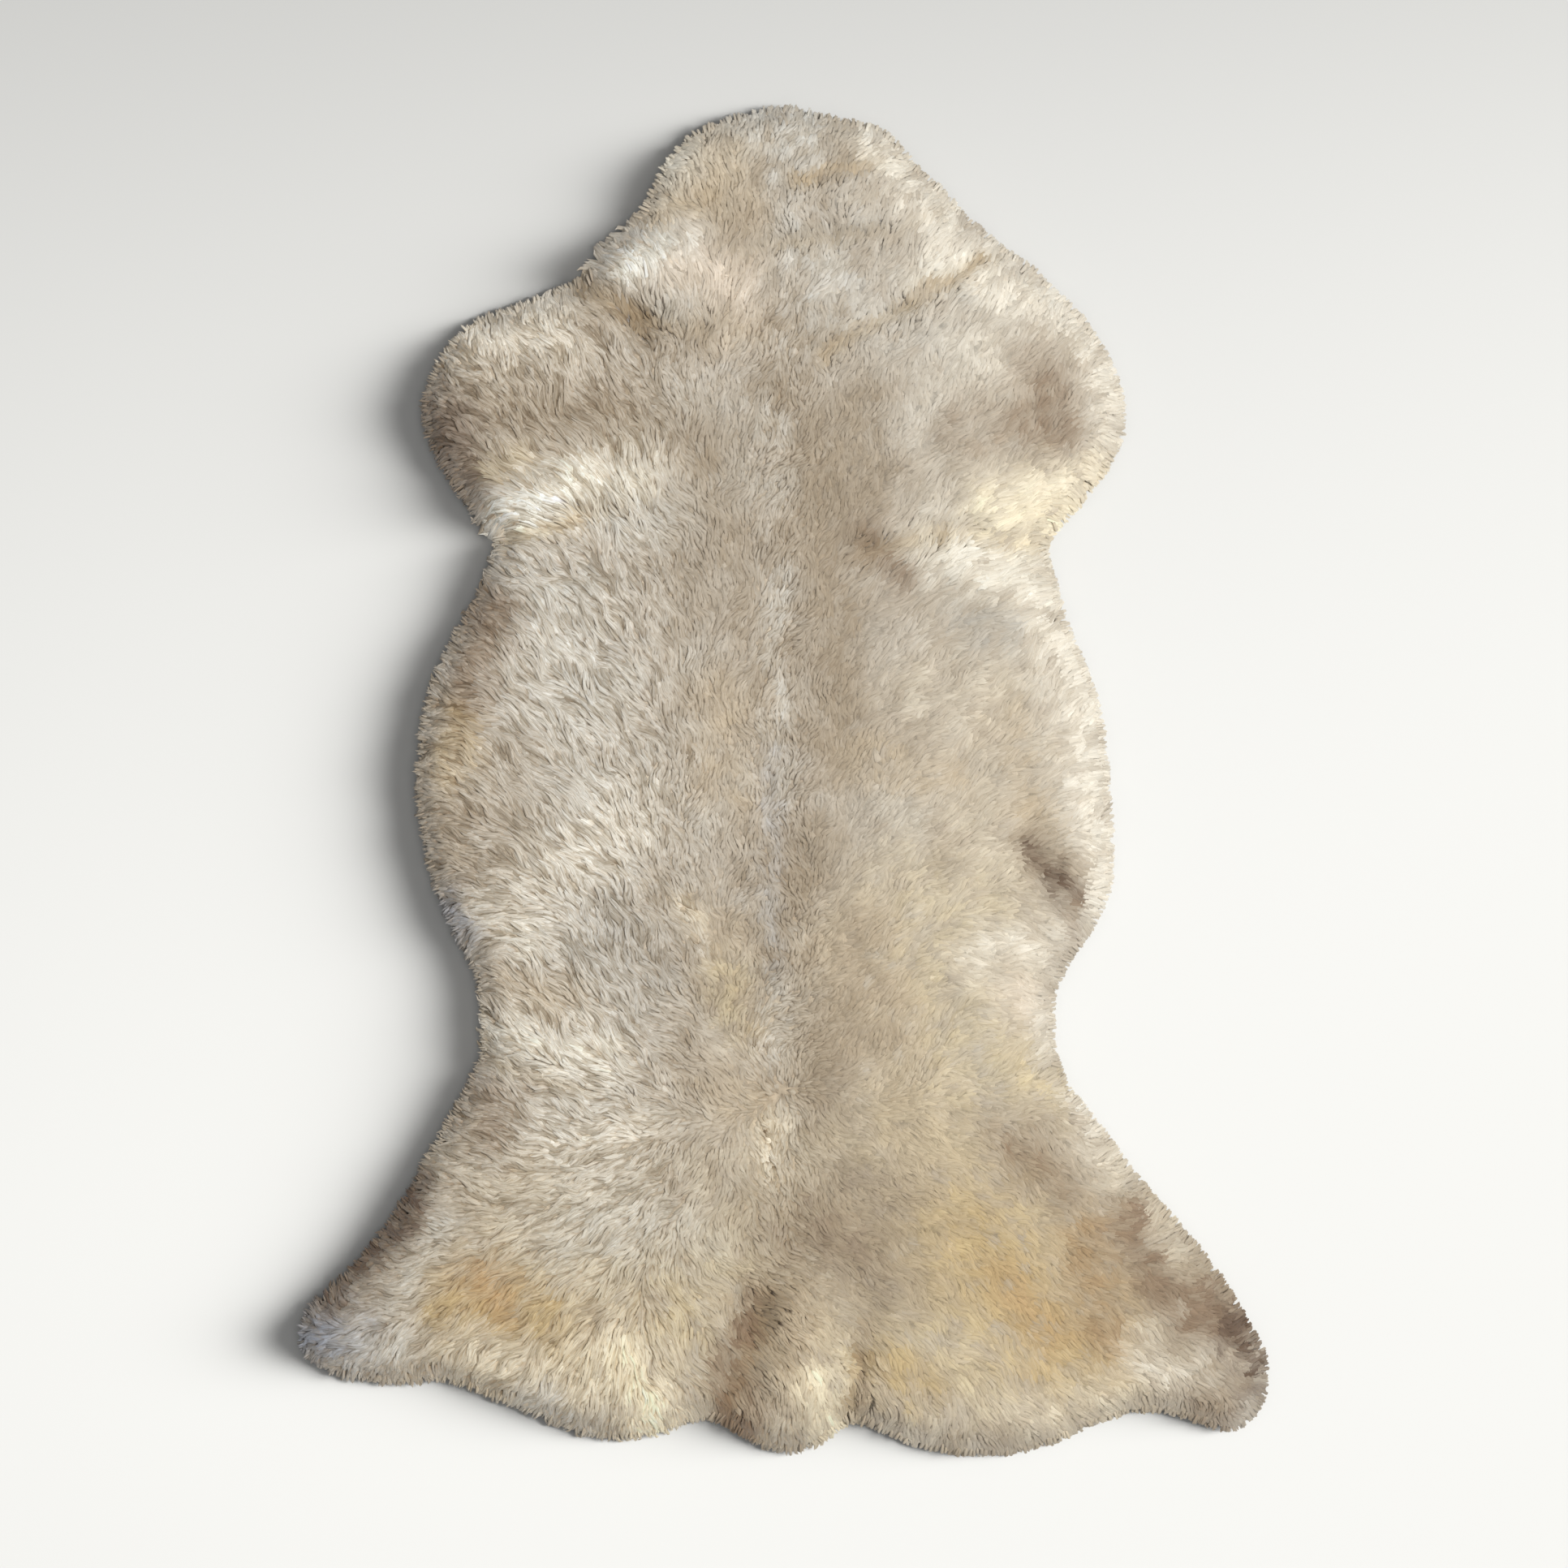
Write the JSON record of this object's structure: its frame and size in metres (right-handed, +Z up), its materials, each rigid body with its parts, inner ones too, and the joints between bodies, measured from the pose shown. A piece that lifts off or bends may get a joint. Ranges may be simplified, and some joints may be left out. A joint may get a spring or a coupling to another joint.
{
  "type": "sheepskin rug",
  "caption": "Whole sheepskin rug with a neck, shoulders, waist and spread haunches, wool side up, lying flat with locks of wool standing out all round its rim.",
  "frame": {"origin": "on the floor, under the middle of the rug's bounding box", "axes": "+Y along the skin from tail to neck, +Z up out of the wool, +X to the right as seen from above with the neck at the top"},
  "size_m": [0.7524, 1.0498, 0.047],
  "materials": {
    "wool": "undyed clipped wool, warm beige with cream tips, brown patches and ochre at the haunches",
    "hide": "suede, the tanned flesh side of the skin, pale and matt"
  },
  "bodies": {
    "root": {"sheepskin": "wool"}
  },
  "joints": []
}
